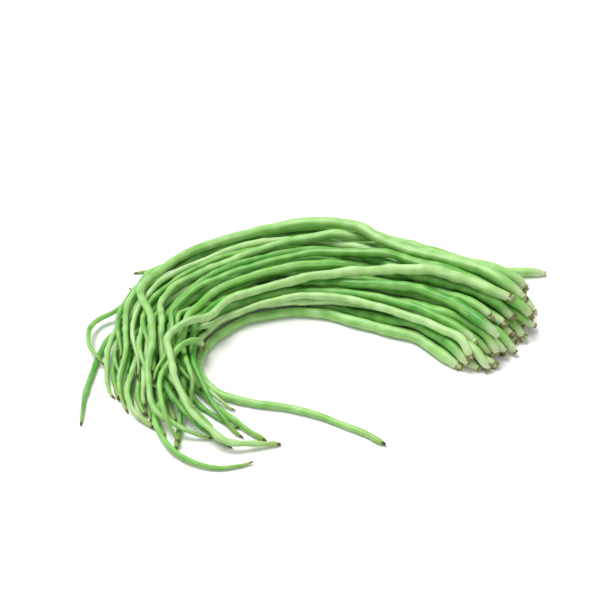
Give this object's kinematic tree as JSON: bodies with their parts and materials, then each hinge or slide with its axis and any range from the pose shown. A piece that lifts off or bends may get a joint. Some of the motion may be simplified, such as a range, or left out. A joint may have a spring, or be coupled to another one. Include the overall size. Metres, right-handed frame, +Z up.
{
  "type": "yardlong bean bunch",
  "caption": "Loose bunch of very long, thin green bean pods lying in a bent heap, with cut stalks at one end and drooping tips at the other.",
  "frame": {"origin": "middle of the heap's underside, on the surface that it lies on", "axes": "+X from the drooping tips towards the cut stalk ends, the heap's longest extent, and +Z up"},
  "size_m": [0.338, 0.2522, 0.0417],
  "materials": {
    "pod_green": "smooth waxy skin, mid green",
    "pod_deep": "smooth waxy skin, deeper green",
    "pod_pale": "smooth waxy skin, pale yellow green"
  },
  "bodies": {
    "root": {"pod_01": "pod_pale", "pod_02": "pod_green", "pod_03": "pod_deep", "pod_04": "pod_green", "pod_05": "pod_deep", "pod_06": "pod_pale", "pod_07": "pod_green", "pod_08": "pod_deep", "pod_09": "pod_green", "pod_10": "pod_deep", "pod_11": "pod_pale", "pod_12": "pod_green", "pod_13": "pod_deep", "pod_14": "pod_green", "pod_15": "pod_deep", "pod_16": "pod_pale", "pod_17": "pod_green", "pod_18": "pod_deep", "pod_19": "pod_green", "pod_20": "pod_deep", "pod_21": "pod_pale", "pod_22": "pod_green", "pod_23": "pod_deep", "pod_24": "pod_green", "pod_25": "pod_deep", "pod_26": "pod_pale", "pod_27": "pod_green", "pod_28": "pod_deep", "pod_29": "pod_green", "pod_30": "pod_deep", "pod_31": "pod_pale", "pod_32": "pod_green", "pod_33": "pod_deep", "pod_34": "pod_green", "pod_35": "pod_deep", "pod_36": "pod_pale", "pod_37": "pod_green", "pod_38": "pod_deep", "pod_39": "pod_green", "pod_40": "pod_deep", "pod_41": "pod_pale"}
  },
  "joints": []
}
